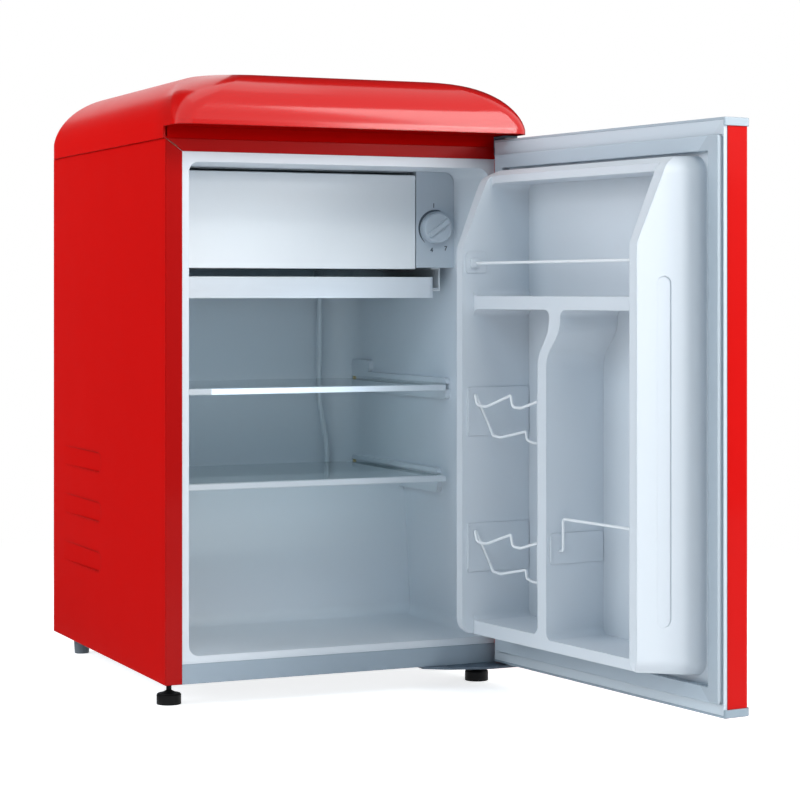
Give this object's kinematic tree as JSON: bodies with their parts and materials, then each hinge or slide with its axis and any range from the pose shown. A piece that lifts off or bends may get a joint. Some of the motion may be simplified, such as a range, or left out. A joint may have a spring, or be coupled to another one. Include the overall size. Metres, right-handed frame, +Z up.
{
  "type": "mini fridge",
  "caption": "Retro compact refrigerator: red rounded cabinet, domed top cap, open moulded door with wire racks, freezer box, glass shelves and drip tray.",
  "frame": {"origin": "on the floor, under the centre of the cabinet's footprint", "axes": "+X to the right seen from the front, +Y to the back, +Z up; the cabinet's front faces -Y"},
  "size_m": [0.5603, 1.0225, 0.815],
  "materials": {
    "black_rubber": "matte black",
    "black_steel": "black enamel",
    "bright_cap": "satin silver",
    "bush_plastic": "self lubricating",
    "clear_glass": "tempered, polished edges",
    "copper": "copper tube",
    "flap_white": "cool white, satin gloss",
    "foam": "rigid foam",
    "foot_black": "satin black",
    "foot_grey": "dark grey",
    "freezer_metal": "white coated, satin",
    "gasket_grey": "soft light grey",
    "line_sleeve": "white sleeve",
    "liner_white": "cool white, satin gloss",
    "panel_zinc": "galvanised sheet",
    "plated_steel": "zinc plated",
    "rail_grey": "grey",
    "red_enamel": "glossy deep red enamel",
    "red_plastic": "glossy deep red moulding",
    "trim_white": "white",
    "wire_white": "white coated wire"
  },
  "bodies": {
    "cabinet": {"cabinet_shell": "red_enamel", "back_panel": "panel_zinc", "top_cap": "red_plastic", "cap_base": "red_plastic", "inner_liner": "liner_white", "foam_insulation": "foam", "kick_rail": "rail_grey", "base_tray": "panel_zinc", "bay_panel": "panel_zinc", "compressor": "black_steel", "compressor_grommets": "black_rubber", "terminal_cover": "foot_black", "evaporation_tray": "foot_black", "filter_drier": "copper", "condenser_tube": "copper", "freezer_box": "freezer_metal", "flap_hinge_pins": "plated_steel", "control_housing": "liner_white", "thermostat": "foot_grey", "refrigerant_line": "line_sleeve", "line_grommet": "rail_grey", "drip_tray_runners": "trim_white", "rear_feet": "foot_grey", "foot_nuts": "plated_steel", "bottom_hinge_plate": "rail_grey", "bottom_hinge_pin": "plated_steel", "top_hinge_bracket": "plated_steel", "top_hinge_pin": "plated_steel", "hinge_screws": "plated_steel"},
    "door": {"door_skin": "red_enamel", "door_top_cap": "bright_cap", "door_bottom_cap": "bright_cap", "door_foam": "foam", "door_liner": "liner_white", "door_frame": "rail_grey", "door_gasket": "gasket_grey", "hinge_bushes": "bush_plastic", "shelf_bail_brackets": "trim_white", "can_rack_brackets": "trim_white", "bottle_bail_brackets": "trim_white", "top_shelf_bail": "wire_white", "upper_can_rack": "wire_white", "lower_can_rack": "wire_white", "bottle_bail": "wire_white"},
    "flap": {"freezer_flap": "flap_white"},
    "knob": {"thermostat_knob": "trim_white", "thermostat_shaft": "plated_steel"},
    "tray": {"drip_tray": "flap_white"},
    "upper_shelf": {"upper_shelf_glass": "clear_glass", "upper_shelf_trim": "trim_white"},
    "lower_shelf": {"lower_shelf_glass": "clear_glass", "lower_shelf_trim": "trim_white"},
    "left_foot": {"front_left_foot": "foot_black"},
    "right_foot": {"front_right_foot": "foot_black"}
  },
  "joints": [
    {"name": "door_hinge", "type": "hinge", "parent": "cabinet", "child": "door", "pos_m": [0.231, -0.281, 0.4], "axis": [0, 0, 1], "range_deg": [-96.8, 10]},
    {"name": "flap_hinge", "type": "hinge", "parent": "cabinet", "child": "flap", "pos_m": [-0.027, -0.148, 0.69], "axis": [-1, 0, 0], "range_deg": [0, 90]},
    {"name": "thermostat_turn", "type": "hinge", "parent": "cabinet", "child": "knob", "pos_m": [0.184, -0.155, 0.622], "axis": [0, -1, 0], "range_deg": [-150, 150]},
    {"name": "drip_tray_slide", "type": "slide", "parent": "cabinet", "child": "tray", "axis": [0, -1, 0], "range_m": [0, 0.15]},
    {"name": "upper_shelf_slide", "type": "slide", "parent": "cabinet", "child": "upper_shelf", "axis": [0, -1, 0], "range_m": [0, 0.15]},
    {"name": "lower_shelf_slide", "type": "slide", "parent": "cabinet", "child": "lower_shelf", "axis": [0, -1, 0], "range_m": [0, 0.15]},
    {"name": "left_foot_turn", "type": "hinge", "parent": "cabinet", "child": "left_foot", "pos_m": [-0.222, -0.205, 0.02], "axis": [0, 0, 1], "range_deg": [-180, 180]},
    {"name": "right_foot_turn", "type": "hinge", "parent": "cabinet", "child": "right_foot", "pos_m": [0.222, -0.205, 0.02], "axis": [0, 0, 1], "range_deg": [-180, 180]}
  ]
}
